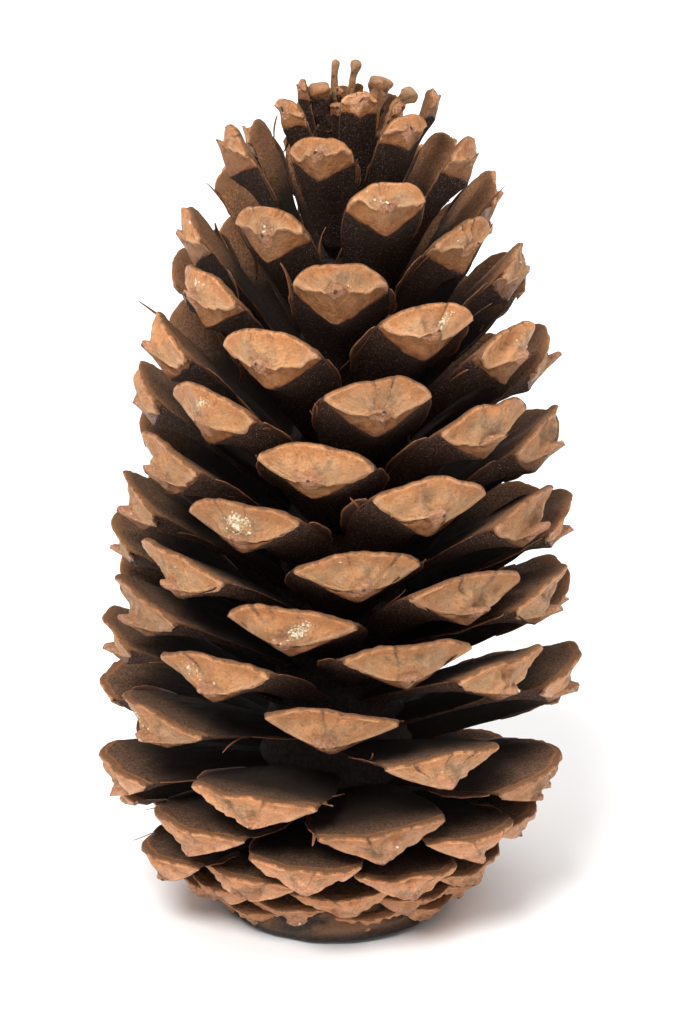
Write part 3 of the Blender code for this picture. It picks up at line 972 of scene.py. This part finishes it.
# The unopened scales at the very tip, thin pegs with small heads
crownPegs = [
    # path from foot to head in mm, radius of the stem, radius of the head, where its tan starts
    {"path": [(-0.6, 0.4, 78.0), (-0.6, 0.3, 82.4), (-0.95, 0.2, 86.0), (-0.8, 0.1, 88.9)],
     "stem": 0.34, "head": 0.42, "tan": 0.1},
    {"path": [(0.5, 0.6, 78.0), (0.5, 0.5, 83.4), (0.8, 0.4, 86.5), (1.3, 0.3, 88.8)],
     "stem": 0.34, "head": 0.56, "tan": 0.1},
    {"path": [(3.4, 0.2, 78.0), (4.4, -0.2, 81.6), (5.2, -0.5, 84.2), (6.9, -0.8, 86.0)],
     "stem": 0.6, "head": 0.85, "tan": 0.3},
    {"path": [(-1.0, -0.4, 77.0), (-1.6, -0.8, 81.5), (-2.2, -1.0, 84.4), (-2.4, -1.1, 86.8)],
     "stem": 1.0, "head": 1.22, "tan": 0.8},
    {"path": [(1.5, 1.0, 78.0), (2.4, 1.6, 82.0), (3.2, 2.0, 84.3), (3.8, 2.3, 86.6)],
     "stem": 0.9, "head": 1.25, "tan": 0.6},
]


def makeCrownPegs(material):
    points, faces = [], []
    marks = {name: [] for name in markNames + wholeNames}
    sides, rows, neckAt = 20, 30, 0.78
    for peg in crownPegs:
        draw = random.Random(len(points) + 3)
        uneven = waves(draw, 6, 1.0, 4.0)
        path = [Vector(p) for p in peg["path"]]
        start = len(points)
        for i in range(rows):
            u = i / (rows - 1)
            # a smooth path through the four points
            at = u * (len(path) - 1)
            k = min(int(at), len(path) - 2)
            f = at - k
            before, after = path[max(k - 1, 0)], path[min(k + 2, len(path) - 1)]
            centre = (path[k] * (2 - 5 * f * f + 3 * f ** 3) + path[k + 1] * (f + 4 * f * f - 3 * f ** 3)
                      + before * (-f + 2 * f * f - f ** 3) + after * (f ** 3 - f * f)) / 2
            ahead = (path[k + 1] - path[k]).normalized()
            headShare = max(0.0, (u - neckAt) / 0.22)
            radius = peg["stem"] * (1.2 - 0.2 * min(u / 0.8, 1))
            radius += (peg["head"] - peg["stem"]) * min(headShare * 2.5, 1)
            radius *= max(1 - headShare ** 5, 0) ** 0.5
            side = ahead.cross(Vector((0.1, 1.0, 0.1))).normalized()
            other = ahead.cross(side)
            for j in range(sides):
                turn = math.tau * j / sides
                r = max(radius, 0.02) * (1 + 0.13 * float(uneven(turn, 9 * u)))
                points.append((centre + side * (r * math.cos(turn)) + other * (r * math.sin(turn))) * mm)
                neck = math.exp(-((u - 0.8) / 0.03) ** 2)
                crease = 0.3 + 0.22 * float(uneven(turn * 2, 20 * u)) + 0.35 * neck
                # the same marks as the scales have, in the same order
                values = ((u - peg["tan"]) * 8, 0.0 if u < peg["tan"] else 0.9, math.cos(turn) * 0.5, 3.0,
                          crease, (1 - u) * 8, 0.1, 0.9, 1.0)
                for name, value in zip(markNames + wholeNames, values):
                    marks[name].append(value)
        meshFromRings(faces, start, rows, sides)
    newPiece("crownPegs", points, faces, material, marks)


# The camera stands at the photograph's angle, about 19 degrees above level
viewPoint = {"elevation": 19.0, "distance": 0.505, "aim": (0.0, 0.0, 0.042), "lens": 175.8}


def makeCamera():
    camera = bpy.data.objects.new("camera", bpy.data.cameras.new("camera"))
    bpy.context.scene.collection.objects.link(camera)
    camera.data.lens = viewPoint["lens"]
    camera.data.sensor_width = 36.0
    camera.data.clip_start = 0.01
    rise = math.radians(viewPoint["elevation"])
    away = Vector((0.0, -math.cos(rise), math.sin(rise)))
    camera.location = Vector(viewPoint["aim"]) + viewPoint["distance"] * away
    camera.rotation_euler = away.to_track_quat("Z", "Y").to_euler()
    bpy.context.scene.camera = camera


studio = {
    "floorColor": (0.93, 0.93, 0.93),
    "worldColor": (1.0, 0.99, 0.98),
    "worldStrength": 0.58,
    # name: where it shines from, strength, how wide it is in degrees
    "lamps": {
        "keyLight": ((-0.3, -0.75, 0.95), 3.1, 22.0),
        "topLight": ((0.2, 0.1, 1.0), 1.5, 70.0),
    },
}


def makeStudio():
    floorMesh = bpy.data.meshes.new("floor")
    reach = 6.0
    corners = [(-reach, -reach, 0), (reach, -reach, 0), (reach, reach, 0), (-reach, reach, 0)]
    floorMesh.from_pydata(corners, [], [(0, 1, 2, 3)])
    floor = bpy.data.objects.new("floor", floorMesh)
    bpy.context.scene.collection.objects.link(floor)
    material, _, shader = newMaterial("floorPaper")
    shader.inputs["Base Color"].default_value = (*studio["floorColor"], 1.0)
    shader.inputs["Roughness"].default_value = 0.9
    floorMesh.materials.append(material)
    for name, (place, strength, wide) in studio["lamps"].items():
        lamp = bpy.data.objects.new(name, bpy.data.lights.new(name, "SUN"))
        lamp.data.energy = strength
        lamp.data.angle = math.radians(wide)
        lamp.location = place
        lamp.rotation_euler = Vector(place).to_track_quat("Z", "Y").to_euler()
        bpy.context.scene.collection.objects.link(lamp)
    world = bpy.data.worlds.new("studio")
    world.use_nodes = True
    sky = world.node_tree.nodes["Background"]
    sky.inputs["Color"].default_value = (*studio["worldColor"], 1.0)
    sky.inputs["Strength"].default_value = studio["worldStrength"]
    bpy.context.scene.world = world
    bpy.context.scene.view_settings.view_transform = "Standard"


makeCamera()
makeStudio()
speckle, fibre = makeSpeckleGroup(), makeFibreGroup()
bark = makeBark(speckle, fibre)
firstDraw = random.Random(coneShape["seed"])
plans = [planScale(number, firstDraw) for number in range(coneShape["scaleCount"])]
for bandName in barkBands:
    makeScaleBand(bandName, plans, bark)
makeCore(makeCoreMaterial(speckle))
makeCrownPegs(bark)
makeWings(plans, makePaperMaterial(speckle))
makeResin(plans, makeResinMaterial())
